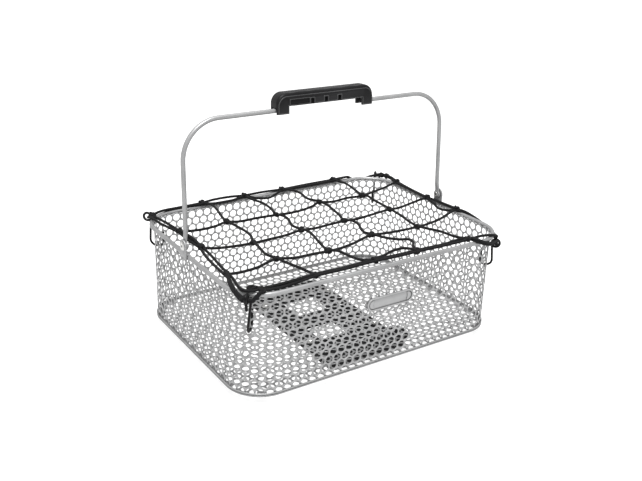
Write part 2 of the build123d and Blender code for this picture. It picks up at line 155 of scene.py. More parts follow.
def loop_place(along, outset):
    """Points and outward directions at distances along the loop, clockwise from the middle of the back."""
    half_x, half_y, corner = STRAIGHT_X, STRAIGHT_Y, LOOP_CORNER
    starts = np.concatenate([[0], np.cumsum(LOOP_SPANS)])
    along = np.mod(np.asarray(along, float), starts[-1])
    point, out = np.zeros((len(along), 2)), np.zeros((len(along), 2))
    quarter = [(half_x, half_y), (half_x, -half_y), (-half_x, -half_y), (-half_x, half_y)]
    line_starts = [(0, half_y), *quarter]
    for i in range(9):
        here = (along >= starts[i]) & (along <= starts[i + 1])
        run = along[here] - starts[i]
        turn = (i // 2) * math.pi / 2
        if i % 2 == 0:
            heading = np.array([math.cos(-turn), math.sin(-turn)])
            normal = np.array([-heading[1], heading[0]])
            base = np.array(line_starts[i // 2]) + run[:, None] * heading
            out[here] = normal
        else:
            angle = math.pi / 2 - turn - run / corner
            base = np.array(quarter[i // 2])[None, :]
            out[here] = np.stack([np.cos(angle), np.sin(angle)], 1)
        point[here] = base + out[here] * (corner + outset - WALL_MIDDLE)
    return point, out


def loop_stations():
    """Distances round the loop: close together on the corners, further apart on the straights."""
    stations, start = [], 0
    for span, steps in zip(LOOP_SPANS, LOOP_STEPS):
        stations.extend(start + span * np.arange(steps) / steps)
        start += span
    return np.array(stations)


def loop_sweep(profile):
    """A closed (outset, z) outline carried once round the basket."""
    rings = []
    stations = loop_stations()
    placed = [loop_place(stations, outset)[0] for outset, _ in profile]
    for i in range(len(stations)):
        rings.append([(*placed[j][i], profile[j][1]) for j in range(len(profile))])
    return skin(rings, closed_along=True)


def circle(radius, sides=24, phase=0.0):
    angles = phase + np.arange(sides) * 2 * math.pi / sides
    return [(radius * math.cos(a), radius * math.sin(a)) for a in angles]


def pipe(points, radius, sides=14, closed=False, round_ends=True):
    """A tube along points: vertices, faces and UVs of turns round it and metres along it."""
    points = [Vector(p) for p in points]
    count = len(points)
    radii = radius if hasattr(radius, "__len__") else [radius] * count
    tangents = []
    for i in range(count):
        before = points[i - 1] if i or closed else points[0]
        after = points[(i + 1) % count] if i < count - 1 or closed else points[-1]
        tangents.append((after - before).normalized())
    side = tangents[0].orthogonal().normalized()
    frames = []
    for i in range(count):
        if i:
            side = (tangents[i - 1].rotation_difference(tangents[i]) @ side).normalized()
        frames.append((points[i], side.copy(), tangents[i].cross(side)))
    if closed:
        end_side = tangents[-1].rotation_difference(tangents[0]) @ side
        twist = frames[0][1].angle(end_side)
        if frames[0][1].cross(end_side).dot(tangents[0]) < 0:
            twist = -twist
        for i, (at, first, second) in enumerate(frames):
            turn = Matrix.Rotation(-twist * i / count, 3, tangents[i])
            frames[i] = (at, turn @ first, turn @ second)
    rings, lengths, run = [], [], 0.0
    for i, (at, first, second) in enumerate(frames):
        if i:
            run += (at - points[i - 1]).length
        rings.append([at + first * x + second * y for x, y in circle(radii[i], sides)])
        lengths.append(run)
    if round_ends and not closed:
        for end, sign in ((0, -1), (-1, 1)):
            at, first, second = frames[end]
            for angle in (35, 65, 82):
                a = math.radians(angle)
                centre = at + tangents[end] * sign * radii[end] * math.sin(a)
                where = len(rings) if end else 0
                cap = circle(radii[end] * math.cos(a), sides)
                rings.insert(where, [centre + first * x + second * y for x, y in cap])
                lengths.insert(where, lengths[end] + sign * radii[end] * 0.2)
    vertices, faces = skin(rings, closed_along=closed)
    uvs = [(j / sides, lengths[i]) for i in range(len(rings)) for j in range(sides)]
    return vertices, faces, uvs


def rounded_route(points, radii, steps=10):
    """A rod's route: straight runs with an arc of its own radius at each inner corner."""
    points = [Vector(p) for p in points]
    route = [points[0]]
    for before, here, after, radius in zip(points, points[1:], points[2:], radii):
        back, on = (before - here).normalized(), (after - here).normalized()
        half = back.angle(on) / 2
        reach = radius / math.tan(half)
        centre = here + (back + on).normalized() * (radius / math.sin(half))
        start, end = (here + back * reach - centre).normalized(), (here + on * reach - centre).normalized()
        for i in range(steps + 1):
            route.append(centre + start.slerp(end, i / steps) * radius)
    route.append(points[-1])
    return route


def lathe(profile, place, sides=40):
    """A (radius, height) outline turned about an axis and put in place by a matrix."""
    rings = []
    for x, y in circle(1, sides):
        rings.append([place @ Vector((x * r, y * r, h)) for r, h in profile])
    return skin(rings, closed_along=True)


def axis_matrix(origin, z_direction, x_direction=None):
    """A frame with its Z along one direction and its X as near as can be to another."""
    z = Vector(z_direction).normalized()
    x = Vector(x_direction) if x_direction else z.orthogonal()
    y = z.cross(x).normalized()
    x = y.cross(z).normalized()
    matrix = Matrix((x, y, z)).transposed().to_4x4()
    matrix.translation = Vector(origin)
    return matrix


def slab(outlines, thickness, edge, place, edge_steps=2):
    """A flat plate cut to outlines, the first its outside and the others its holes, with rounded edges."""
    curve = bpy.data.curves.new("slab", "CURVE")
    curve.dimensions = "2D"
    curve.fill_mode = "BOTH"
    curve.extrude = thickness / 2 - edge
    curve.bevel_depth = edge
    curve.bevel_resolution = edge_steps
    curve.offset = -edge
    for outline in outlines:
        spline = curve.splines.new("POLY")
        spline.points.add(len(outline) - 1)
        for point, (x, y) in zip(spline.points, outline):
            point.co = (x, y, 0, 1)
        spline.use_cyclic_u = True
    holder = bpy.data.objects.new("slab", curve)
    bpy.context.scene.collection.objects.link(holder)
    bpy.context.view_layer.update()
    mesh = bpy.data.meshes.new_from_object(holder.evaluated_get(bpy.context.evaluated_depsgraph_get()))
    work = bmesh.new()
    work.from_mesh(mesh)
    bmesh.ops.remove_doubles(work, verts=work.verts, dist=1e-6)
    bmesh.ops.recalc_face_normals(work, faces=work.faces)
    vertices = [place @ v.co for v in work.verts]
    faces = [tuple(v.index for v in f.verts) for f in work.faces]
    work.free()
    bpy.data.objects.remove(holder)
    bpy.data.curves.remove(curve)
    bpy.data.meshes.remove(mesh)
    return vertices, faces


def arc_points(centre_x, centre_y, radius, start, end, steps):
    angles = np.radians(np.linspace(start, end, steps + 1))
    return [(centre_x + radius * math.cos(a), centre_y + radius * math.sin(a)) for a in angles]


def stadium(length, depth, steps=16):
    half = (length - depth) / 2
    return arc_points(half, 0, depth / 2, -90, 90, steps) + arc_points(-half, 0, depth / 2, 90, 270, steps)


# ---- Perforated sheet ----


def perforated(centres, is_open, hold, place, flip):
    """A sheet of hexagonal cells with round holes, kept in its edge by hold() and put in space by place()."""
    angles = math.pi / 6 + np.arange(HOLE_SIDES) * 2 * math.pi / HOLE_SIDES
    reach = (PITCH / 2) / np.cos(np.mod(angles + math.pi / 6, math.pi / 3) - math.pi / 6)
    ring = np.stack([np.cos(angles), np.sin(angles)], 1)
    half = SHEET / 2
    flat, thick, faces = [], [], []
    for centre, is_hole in zip(np.asarray(centres), is_open):
        base = len(flat)
        index = np.arange(HOLE_SIDES)
        following = (index + 1) % HOLE_SIDES
        if is_hole:
            radii = [np.full(HOLE_SIDES, HOLE), np.full(HOLE_SIDES, HOLE + HOLE_ROUND), reach]
            for radius, t in zip(radii, (half - HOLE_ROUND, half, half)):
                flat.extend(centre + ring * radius[:, None])
                thick.extend([t] * HOLE_SIDES)
            for level in (0, 1):
                a, b = base + level * HOLE_SIDES, base + (level + 1) * HOLE_SIDES
                faces.extend(zip(a + index, b + index, b + following, a + following))
        else:
            flat.extend(centre + ring * reach[:, None])
            flat.append(centre)
            thick.extend([half] * (HOLE_SIDES + 1))
            middle = base + HOLE_SIDES
            hub = [middle] * HOLE_SIDES
            faces.extend(zip(base + index, base + following, hub, hub))
    flat, thick, faces = hold(np.array(flat)), np.array(thick), np.array(faces)
    keys = np.round(flat / 2e-6).astype(np.int64)
    _, first, inverse = np.unique(keys, axis=0, return_index=True, return_inverse=True)
    flat, thick, faces = flat[first], thick[first], inverse.ravel()[faces]
    corner = flat[faces]
    rolled = np.roll(corner, -1, axis=1)
    area = np.sum(corner[..., 0] * rolled[..., 1] - corner[..., 1] * rolled[..., 0], axis=1) / 2
    faces = [list(dict.fromkeys(face)) for face, size in zip(faces.tolist(), area) if size > 1e-10]
    faces = [face for face in faces if len(face) > 2]
    used = {}
    for face in faces:
        for a, b in zip(face, face[1:] + face[:1]):
            used[(a, b)] = True
    edge = [(a, b) for a, b in used if (b, a) not in used]
    position, normal = place(flat)
    upper = position + normal * thick[:, None]
    lower = position - normal * thick[:, None]
    count = len(flat)
    solid = [tuple(face) for face in faces]
    solid += [tuple(i + count for i in reversed(face)) for face in faces]
    solid += [(b, a, a + count, b + count) for a, b in edge]
    if flip:
        solid = [tuple(reversed(face)) for face in solid]
    return np.concatenate([upper, lower]), solid


def wall_cells(start, end):
    """Cell centres (distance round the loop, height) whose middle lies in one stretch of the wall."""
    columns = round(LOOP_LENGTH / PITCH)
    step = LOOP_LENGTH / columns
    centres = []
    for row in range(-1, 14):
        height = TOP_ROW_Z - row * ROW
        for column in range(-2, columns + 2):
            along = BACK_PHASE + (column + (row % 2) / 2) * step
            if start <= along < end and height > FLOOR_Z - ROW:
                centres.append((along, height))
    return centres


def build_wall(metal):
    side = 2 * STRAIGHT_Y + (RIM_CORNER + WALL_MIDDLE) * math.pi
    overlap = 0.006
    right_start = STRAIGHT_X - overlap
    front_start = right_start + side + 2 * overlap
    left_start = front_start + 2 * STRAIGHT_X - 2 * overlap
    stretches = {
        "wall_back_right": (0, right_start),
        "wall_right": (right_start, front_start),
        "wall_front": (front_start, left_start),
        "wall_left": (left_start, left_start + side + 2 * overlap),
        "wall_back_left": (left_start + side + 2 * overlap, LOOP_LENGTH),
    }

    def hold(flat):
        flat[:, 1] = np.clip(flat[:, 1], FLOOR_Z + SHEET, SHEET_TOP)
        return flat

    def place(flat):
        point, out = loop_place(flat[:, 0], WALL_MIDDLE)
        return np.column_stack([point, flat[:, 1]]), np.column_stack([out, np.zeros(len(out))])

    for name, (start, end) in stretches.items():
        centres = wall_cells(start, end)
        sheet = perforated(centres, [True] * len(centres), hold, place, True)
        steel_piece(name, sheet, metal, "wall_mesh")


def rib_height(x, y):
    """How far the floor is pressed up at each point: flat-topped ribs with steep sides."""
    height = np.zeros(len(x))
    for rib in RIBS:
        across = np.clip(1 - np.abs(x - rib) / RIB_HALF_WIDTH, 0, 1)
        along = np.clip((RIB_HALF_LENGTH - np.abs(y)) / RIB_HALF_WIDTH, 0, 1)
        height = np.maximum(height, RIB_HEIGHT * np.sqrt(np.minimum(across * RIB_STEEPNESS, 1)) * along)
    return height


def build_floor(metal):
    half_x, half_y = RIM_X + WALL_OUTSET, RIM_Y + WALL_OUTSET
    corner = RIM_CORNER + WALL_OUTSET

    def inset(flat):
        """How far each point lies inside the floor's outline, and the nearest way to it."""
        spare = np.abs(flat) - np.array([half_x - corner, half_y - corner])
        outside = np.maximum(spare, 0)
        length = np.linalg.norm(outside, axis=1)
        return corner - length - np.minimum(spare.max(axis=1), 0), outside, length

    def hold(flat):
        inside, outside, length = inset(flat)
        over = inside < 0
        core = np.minimum(np.abs(flat), np.array([half_x - corner, half_y - corner]))
        scaled = core + outside * (corner / np.maximum(length, 1e-9))[:, None]
        flat[over] = (np.sign(flat) * scaled)[over]
        return flat

    def place(flat):
        z = FLOOR_Z + SHEET / 2 + rib_height(flat[:, 0], flat[:, 1])
        normal = np.tile([0.0, 0.0, 1.0], (len(flat), 1))
        return np.column_stack([flat, z]), normal

    cells = []
    for row in range(-1, 30):
        for column in range(-18, 19):
            cells.append(((column + (row % 2) / 2) * PITCH, FLOOR_BACK_ROW - row * ROW))
    cells = np.array(cells)
    inside = inset(cells)[0]
    for name, chosen in (("floor_left", cells[:, 0] < -1e-6), ("floor_right", cells[:, 0] >= -1e-6)):
        kept = chosen & (inside > -PITCH / 2)
        sheet = perforated(cells[kept], inside[kept] > FLOOR_MARGIN, hold, place, False)
        steel_piece(name, sheet, metal, "floor_mesh")


# ---- Rim, hem, straps, rivets ----


def build_rim(metal):
    rod = [(x, RIM_Z + y) for x, y in circle(ROD, 28)]
    steel_piece("rim", loop_sweep(rod), metal, "rim_rod")


def build_hem(metal):
    """A folded strip: two soft lobes with a thin line between them, lying on the wall's outer face."""
    low, high = hem_low.z, hem_high.z
    middle, groove = (low + high) / 2, 0.00035
    lobe = (high - low) / 4
    reach = HEM_OUTSET - lobe
    back = WALL_OUTSET + 0.0001
    outline = [(back, low), (reach, low)]
    outline += arc_points(reach, low + lobe, lobe, -90, 75, 8)
    outline += [(HEM_OUTSET - lobe * 0.6 - groove, middle)]
    outline += arc_points(reach, high - lobe, lobe, -75, 90, 8)
    outline += [(back + 0.0006, high), (back, high - 0.0004)]
    steel_piece("hem", loop_sweep(outline), metal, "base_hem", sharp=60)


WELD_LENGTH, WELD_STEPS, WELD_RADIUS = 0.0144, 28, 0.00105
WELD_OUT, WELD_LEVEL = 0.0023, 0.0026  # in the creases between strap and rod, from the rod's centreline


def weld_bead(side, level):
    """A rippled fillet along the crease between a strap and the rim's rod."""
    line, sizes = [], []
    for step in range(WELD_STEPS + 1):
        x = RIM_X + WELD_OUT + 0.0001 * math.sin(step * 1.3)
        line.append((side * x, -WELD_LENGTH / 2 + step * WELD_LENGTH / WELD_STEPS, RIM_Z + level))
        sizes.append(WELD_RADIUS * (1 + 0.13 * math.sin(step * 2.2)))
    return pipe(line, sizes, 12)


def rivet_profile():
    """A tubular rivet's section: rolled lip inside, shank through the strap, domed head outside."""
    head, lip, shank, bore = 0.006, 0.0042, 0.0025, 0.0015
    inner_end, outer_end = (corner.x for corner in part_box("pivot_rivet_right"))
    profile = [(bore, inner_end + 0.0002), (bore + 0.0003, inner_end)]
    profile += arc_points(lip - 0.0007, inner_end + 0.0007, 0.0007, -90, 90, 6)
    profile += [(shank, inner_end + 0.0015), (shank, STRAP_OUTER)]
    profile += [(head - 0.0003, STRAP_OUTER), (head, STRAP_OUTER + 0.0003)]
    profile += [(head - 0.0002, STRAP_OUTER + 0.0007), (head - 0.0012, outer_end - 0.0002)]
    profile += [(head - 0.0022, outer_end), (bore + 0.0006, outer_end - 0.0001)]
    return profile + [(bore, outer_end - 0.0006)]


def build_straps(metal, steel):
    bottom = strap_low.z - PIVOT_Z
    outline = [(-STRAP_RADIUS, bottom), (STRAP_RADIUS, bottom)] + arc_points(0, 0, STRAP_RADIUS, 0, 180, 32)
    for side, name in ((-1, "left"), (1, "right")):
        middle = side * (STRAP_INNER + STRAP_OUTER) / 2
        place = axis_matrix((middle, 0, PIVOT_Z), (side, 0, 0), (0, side, 0))
        plate = slab([outline], STRAP_OUTER - STRAP_INNER, 0.0004, place)
        beads = [weld_bead(side, level) for level in (WELD_LEVEL, -WELD_LEVEL)]
        steel_piece(f"strap_{name}", joined([plate] + beads), metal, f"pivot_strap_{name}")
        rivet = lathe(rivet_profile(), axis_matrix((0, 0, PIVOT_Z), (side, 0, 0)))
        make_object(f"rivet_{name}", rivet, steel, "basket", [f"pivot_rivet_{name}"])


# ---- Handle ----

LEAN = math.radians(2.7)
BAIL_ROD = 0.003
BAIL_FOOT, BAIL_TOP_X, BAIL_RISE = 0.2037, 0.2015, 0.1548
STEP_START, STEP_END, STEP_RISE = 0.0685, 0.057, 0.0097
EYE_X, EYE_HALF, EYE_RADIUS, EYE_BORE = 0.2050, 0.0015, 0.006, 0.00255
NECK_FOOT, NECK_TOP, NECK_WIDE = 0.0042, 0.022, 0.0038  # where the rod flattens into its eye


def in_bail(x, up, out=0.0):
    """A point of the handle's own plane: across, up the legs from the pivot, and out towards the front."""
    sine, cosine = math.sin(LEAN), math.cos(LEAN)
    return Vector((x, up * sine - out * cosine, PIVOT_Z + up * cosine + out * sine))


def build_bail(metal):
    """The bent rod, flattened towards an eye at each foot."""
    top = BAIL_RISE + STEP_RISE
    half = [(BAIL_FOOT, NECK_TOP), (BAIL_TOP_X, BAIL_RISE), (STEP_START, BAIL_RISE), (STEP_END, top)]
    corners = half + [(-x, up) for x, up in reversed(half)]
    radii = [0.05, 0.006, 0.006]
    route = rounded_route([in_bail(x, up) for x, up in corners], radii + radii[::-1], 14)
    parts = [pipe(route, BAIL_ROD, 28, round_ends=False)]
    for side in (-1, 1):
        rings = []
        for step in range(15):
            up = NECK_FOOT + (NECK_TOP - NECK_FOOT) * step / 14
            t = min(1, max(0, (up - 0.0065) / 0.0125))
            t = t * t * (3 - 2 * t)
            centre = EYE_X + (BAIL_FOOT - EYE_X) * t
            wide, thick = NECK_WIDE + (BAIL_ROD - NECK_WIDE) * t, EYE_HALF + (BAIL_ROD - EYE_HALF) * t
            power = 0.45 + 0.55 * t
            ring = []
            for x, y in circle(1, 28):
                across = math.copysign(abs(x) ** power, x) * thick
                deep = math.copysign(abs(y) ** power, y) * wide
                ring.append(in_bail(side * (centre + across), up, side * deep))
            rings.append(ring)
        parts.append(skin(rings))
        eye = axis_matrix((side * EYE_X, 0, PIVOT_Z), (side, 0, 0))
        edge = 0.0005
        profile = [(EYE_BORE + edge, -EYE_HALF), (EYE_BORE, -EYE_HALF + edge), (EYE_BORE, EYE_HALF - edge),
                   (EYE_BORE + edge, EYE_HALF)]
        profile += arc_points(EYE_RADIUS - edge, EYE_HALF - edge, edge, 90, 0, 4)
        profile += arc_points(EYE_RADIUS - edge, edge - EYE_HALF, edge, 0, -90, 4)
        parts.append(lathe(profile, eye))
    steel_piece("bail_rod", joined(parts), metal, "bail", "handle")


def soften(node, width):
    """Eases a carried-over piece's sharp edges."""
    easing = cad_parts[node].modifiers.new("eased", "BEVEL")
    easing.width = width
    easing.segments = 2
    easing.limit_method = "ANGLE"
    easing.angle_limit = math.radians(35)
    easing.harden_normals = False


def build_grip_beads(plastic, edging):
    """The grip's raised lines along its top, round its two faces and its blank label, and its inner core."""
    half, top, end_radius, face = 0.0745, 0.177, 0.014, 0.0085
    foot_low, middle_low, foot = 0.1505, 0.1604, 0.0175
    notches, notch_half, notch_rise = (-0.022, -0.001, 0.020), 0.0033, 0.0078
    parts = []
    for index, out in enumerate((-0.0048, -0.0016, 0.0016, 0.0048)):
        line = []
        for step in range(121):
            x = -0.0615 + 0.123 * step / 120
            sway = 0.0009 * math.sin(step * 0.26 + index * 1.7)
            line.append(in_bail(x, top - 0.0002 - 0.00025 * (index in (0, 3)), out + sway))
        parts.append(pipe(line, 0.0007, 10))
    inset = 0.0022
    radius = end_radius - inset
    for out in (-1, 1):
        def on_face(x, up, out=out):
            return in_bail(x, up, out * (face - 0.0001))
        arch = [(-half + inset, foot_low + 0.0015 + 0.001 * step) for step in range(9)]
        arch += arc_points(-half + end_radius, top - 0.0043 - radius, radius, 180, 90, 12)
        arch += arc_points(half - end_radius, top - 0.0043 - radius, radius, 90, 0, 12)
        arch += [(half - inset, foot_low + 0.010 - 0.001 * step) for step in range(9)]
        parts.append(pipe([on_face(x, up) for x, up in arch], 0.00065, 10))
        edge = 0.0009
        low = [(-half + inset, foot_low + edge), (-half + foot - edge, foot_low + edge),
               (-half + foot - edge, middle_low + edge), (half - foot + edge, middle_low + edge),
               (half - foot + edge, foot_low + edge), (half - inset, foot_low + edge)]
        if out > 0:
            notched = low[:3]
            for x in notches:
                notched += [(x - notch_half, middle_low + edge), (x - notch_half, middle_low + notch_rise),
                            (x + notch_half, middle_low + notch_rise), (x + notch_half, middle_low + edge)]
            low = notched + low[3:]
        corners = [on_face(x, up) for x, up in low]
        parts.append(pipe(rounded_route(corners, [0.0007] * (len(corners) - 2), 4), 0.0006, 10))
    label_x, label_up, label_length, label_height = -0.041, 0.165, 0.029, 0.0065
    reach_x, reach_up, label = label_length / 2 - 0.0006, label_height / 2 - 0.0006, []
    for side_x, side_up, start in ((1, 1, 90), (1, -1, 0), (-1, -1, 270), (-1, 1, 180)):
        label += arc_points(side_x * reach_x, side_up * reach_up, 0.001, start, start - 90, 4)
    label = [in_bail(label_x + x, label_up + y, face - 0.0001) for x, y in label]
    parts.append(pipe(label, 0.0006, 10, closed=True))
    make_object("grip_beads", joined(parts), edging, "handle", ())
    core_up, core_length, core_height, core_depth = 0.1653, 0.108, 0.0122, 0.0106
    middle = axis_matrix(in_bail(0, core_up), in_bail(0, 0, 1) - in_bail(0, 0), (1, 0, 0))
    core = slab([stadium(core_length, core_height)], core_depth, 0.0012, middle, 3)
    make_object("grip_core", core, plastic, "handle", ())


# ---- Badge ----


def build_badge(metal):
    low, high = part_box("badge_plate")
    length, height, thick = high.x - low.x, high.z - low.z, high.y - low.y
    border, recess, pad_inset, pad_x = 0.0022, 0.0013, 0.0034, 0.026
    centre_x, centre_z = (low.x + high.x) / 2, (low.z + high.z) / 2

    def at(depth):
        return axis_matrix((centre_x, high.y - depth, centre_z), (0, -1, 0), (1, 0, 0))

    base = slab([stadium(length, height)], thick - recess, 0.0003, at((thick - recess) / 2))
    inner = stadium(length - 2 * border, height - 2 * border)
    outer = stadium(length, height)
    border_ring = slab([outer, inner], recess + 0.0006, 0.0003, at(thick - recess / 2 - 0.0003), 3)
    parts = [base, border_ring]
    pad_radius = height / 2 - pad_inset
    middle = length / 2 - height / 2
    for side in (-1, 1):
        arc = arc_points(side * middle, 0, pad_radius, -90, 90, 14)
        if side < 0:
            arc = arc_points(side * middle, 0, pad_radius, 90, 270, 14)
        bow = [(side * (pad_x + 0.0012 * (1 - (y / pad_radius) ** 2)), y)
               for y in np.linspace(side * pad_radius, -side * pad_radius, 9)]
        parts.append(slab([arc + bow], 0.0011, 0.0004, at(thick - recess + 0.0002), 3))
    make_object("badge", joined(parts), metal, "basket", ["badge_plate"])


# ---- Hooks ----

HOOK_WIRE, HOOK_RING, HOOK_BEND = 0.0016, 0.0054, 0.9
# side x, side y, ring out, ring height, leg out, lowest, inner leg, tip: millimetres, outwards from the rim's
# corner and up from the base; the last is how far round the corner the leg leaves its ring
HOOKS = {
    "back_left": (-1, 1, 9.8, 150.4, 7.5, 108.6, -12.5, 129.0, 0.0),
    "back_right": (1, 1, 9.8, 150.4, 6.5, 108.6, -10.0, 130.0, 0.0),
    "front_left": (-1, -1, 9.8, 145.6, 7.5, 99.4, -12.5, 122.0, 4.0),
    "front_right": (1, -1, 5.5, 134.3, 3.6, 101.6, -12.9, 120.0, 0.0),
}


def corner_spot(side_x, side_y, out, z):
    """A point in metres on a corner's diagonal: millimetres outside the rim, and millimetres up."""
    step = out / 1000 * math.sqrt(0.5) - RIM_CORNER * (1 - math.sqrt(0.5))
    return Vector((side_x * (RIM_X + step), side_y * (RIM_Y + step), z / 1000))


def build_hooks(wire):
    for name, (side_x, side_y, ring_out, ring_z, leg_out, lowest, inner_out, tip, turn) in HOOKS.items():
        spots = [(ring_out - 4.6, ring_z - 2.8), (leg_out, lowest), (inner_out, lowest), (inner_out, tip)]
        bend = HOOK_BEND * (leg_out - inner_out) / 2000
        corners = [corner_spot(side_x, side_y, out, z) for out, z in spots]
        corners[0] += Vector((-side_x, side_y, 0)).normalized() * turn / 1000
        route = rounded_route(corners, [bend, bend], 14)
        centre = corner_spot(side_x, side_y, ring_out, ring_z)
        diagonal = Vector((side_x, side_y, 0)).normalized()
        ring = [centre + diagonal * x + Vector((0, 0, y)) for x, y in circle(HOOK_RING, 36)]
        shape = joined([pipe(route, HOOK_WIRE, 14), pipe(ring, HOOK_WIRE * 1.1, 14, closed=True)])
        make_object(f"hook_{name}_wire", shape, wire, "basket", [f"hook_{name}"])


# ---- Net ----

CORD = 0.0018  # radius
LONG_Z, SHORT_Z, BORDER_Z = 151.5, 153.4, 152.7  # millimetres, as everything in the lists of the net
SAG = 0.4
STRAND_OFFSET = 1.9  # of a border's two strands, to each side of its knots
LONG_EASE = 0.65  # how much of their stray the long cords keep
# The knots and the bows are another program's output, some adjusted since, and not chosen by hand
# Knots: rows from the back, each from the left
INNER = [
    [(-112.8, 69.3), (-39.0, 60.0), (42.9, 74.8), (116.2, 68.1)],
    [(-117.0, -14.4), (-38.6, -5.7), (31.8, -5.8), (116.0, 1.1)],
    [(-117.3, -73.4), (-47.0, -83.8), (33.7, -66.4), (107.1, -73.4)],
]
BACK = [(-110.6, 149.8), (-41.3, 149.6), (21.6, 147.5), (117.9, 149.7)]
FRONT = [(-177.0, -143.6), (-102.6, -139.3), (-13.6, -138.7), (50.7, -141.1), (136.4, -142.8)]
LEFT = [(-184.6, 64.7), (-183.0, 1.8), (-192.5, -85.2)]
RIGHT = [(202.5, 94.5), (196.5, 11.9), (202.0, -47.6)]
# How each span strays from straight: (fraction of the way, millimetres to the left of its direction)
LONG_BOWS = [
    [[(0.17, -6), (0.44, -11), (0.75, -8)], [(0.24, -6), (0.63, 0)], [(0.22, -8), (0.51, -11.5), (0.77, -8)],
     [(0.27, -6), (0.7, 3)], [(0.26, -1), (0.61, -2.5)]],
    [[(0.21, -7.5), (0.51, -7)], [(0.33, -1.5), (0.67, -3.5)], [(0.28, -4.5), (0.67, -0.5)],
     [(0.25, -4.5), (0.6, -2)], [(0.18, -5), (0.52, -2), (0.83, 1.5)]],
    [[(0.18, -7), (0.53, -9)], [(0.33, -5.5), (0.68, -1.5)], [(0.2, -5), (0.55, -5)], [(0.3, -2)],
     [(0.22, -5.5), (0.49, -7.5), (0.76, -2.5)]],
]
SHORT_BOWS = [
    [[(0.12, 9), (0.43, 8), (0.69, 3.5)], [(0.27, 4.5), (0.53, 7.5), (0.77, 6.5)], [(0.25, -1), (0.75, -5)],
     [(0.24, 0), (0.61, 1)]],
    [[(0.24, 2.5), (0.46, 7.5), (0.73, 5.5)], [(0.19, 5), (0.38, 4.5), (0.78, -3.5)],
     [(0.12, 5), (0.33, 5), (0.69, 1)], [(0.19, 3.5), (0.5, -4), (0.75, -8)]],
    [[(0.14, 9), (0.39, 9), (0.75, -2.5)], [(0.22, 4.5), (0.55, 4), (0.75, 2.5)],
     [(0.12, 8), (0.37, 7.5), (0.65, -0.5), (0.86, -4)],
     [(0.27, 4.5), (0.48, 13), (0.6, 23), (0.72, 20), (0.84, 9)]],
    [[(0.29, 8), (0.71, 3.5)], [(0.12, 4.5), (0.36, 2.5)], [(0.39, 1)], [(0.46, 2), (0.78, -3)]],
]


def smooth_line(points, spacing=0.0016):
    """A curve through all the points, centripetal so that it never overshoots, evenly sampled."""
    full = [points[0] * 2 - points[1]] + points + [points[-1] * 2 - points[-2]]
    line = []
    for p0, p1, p2, p3 in zip(full, full[1:], full[2:], full[3:]):
        t1 = (p1 - p0).length ** 0.5
        t2 = t1 + (p2 - p1).length ** 0.5
        t3 = t2 + (p3 - p2).length ** 0.5
        steps = max(3, int((p2 - p1).length / spacing))
        for step in range(steps):
            t = t1 + (t2 - t1) * step / steps
            a1 = p0 * ((t1 - t) / t1) + p1 * (t / t1)
            a2 = p1 * ((t2 - t) / (t2 - t1)) + p2 * ((t - t1) / (t2 - t1))
            a3 = p2 * ((t3 - t) / (t3 - t2)) + p3 * ((t - t2) / (t3 - t2))
            b1 = a1 * ((t2 - t) / t2) + a2 * (t / t2)
            b2 = a2 * ((t3 - t) / (t3 - t1)) + a3 * ((t - t1) / (t3 - t1))
            line.append(b1 * ((t2 - t) / (t2 - t1)) + b2 * ((t - t1) / (t2 - t1)))
    return line + [points[-1]]


def spans(knots, bows, levels):
    """Points of a cord from knot to knot, strayed sideways and hanging a little between."""
    points = []
    for start, end, bow, z0, z1 in zip(knots, knots[1:], bows, levels, levels[1:]):
        a, b = Vector((*start, z0)), Vector((*end, z1))
        along = (b - a).normalized()
        side = Vector((-along.y, along.x, 0))
        points.append(a)
        for t, stray in bow:
            drop = Vector((0, 0, SAG * 4 * t * (1 - t)))
            points.append(a.lerp(b, t) + side * stray - drop)
    return points + [b]


def cord_object(name, parts, material, node):
    """Pipes of cord as one piece, with the UVs that its weave runs by."""
    uvs = [uv for part in parts for uv in part[2]]
    make_object(name, (*joined(parts), uvs), material, "basket", [node])


def cord(route):
    """A cord through points in millimetres."""
    return pipe(smooth_line([Vector(p) / 1000 for p in route]), CORD, 12)


def build_cords(material):
    for number, row in enumerate(INNER):
        knots = [LEFT[number], *row, RIGHT[number]]
        levels = [BORDER_Z] + [LONG_Z] * 4 + [BORDER_Z]
        bows = [[(t, stray * LONG_EASE) for t, stray in bow] for bow in LONG_BOWS[number]]
        route = spans(knots, bows, levels)
        cord_object(f"cord_long_{number + 1}", [cord(route)], material, f"net_long_{number + 1}")
    for number, column in enumerate(zip(*INNER)):
        knots = [BACK[number], *column, FRONT[number + 1]]
        route = spans(knots, SHORT_BOWS[number], [SHORT_Z] * 5)
        cord_object(f"cord_short_{number + 1}", [cord(route)], material, f"net_short_{number + 1}")


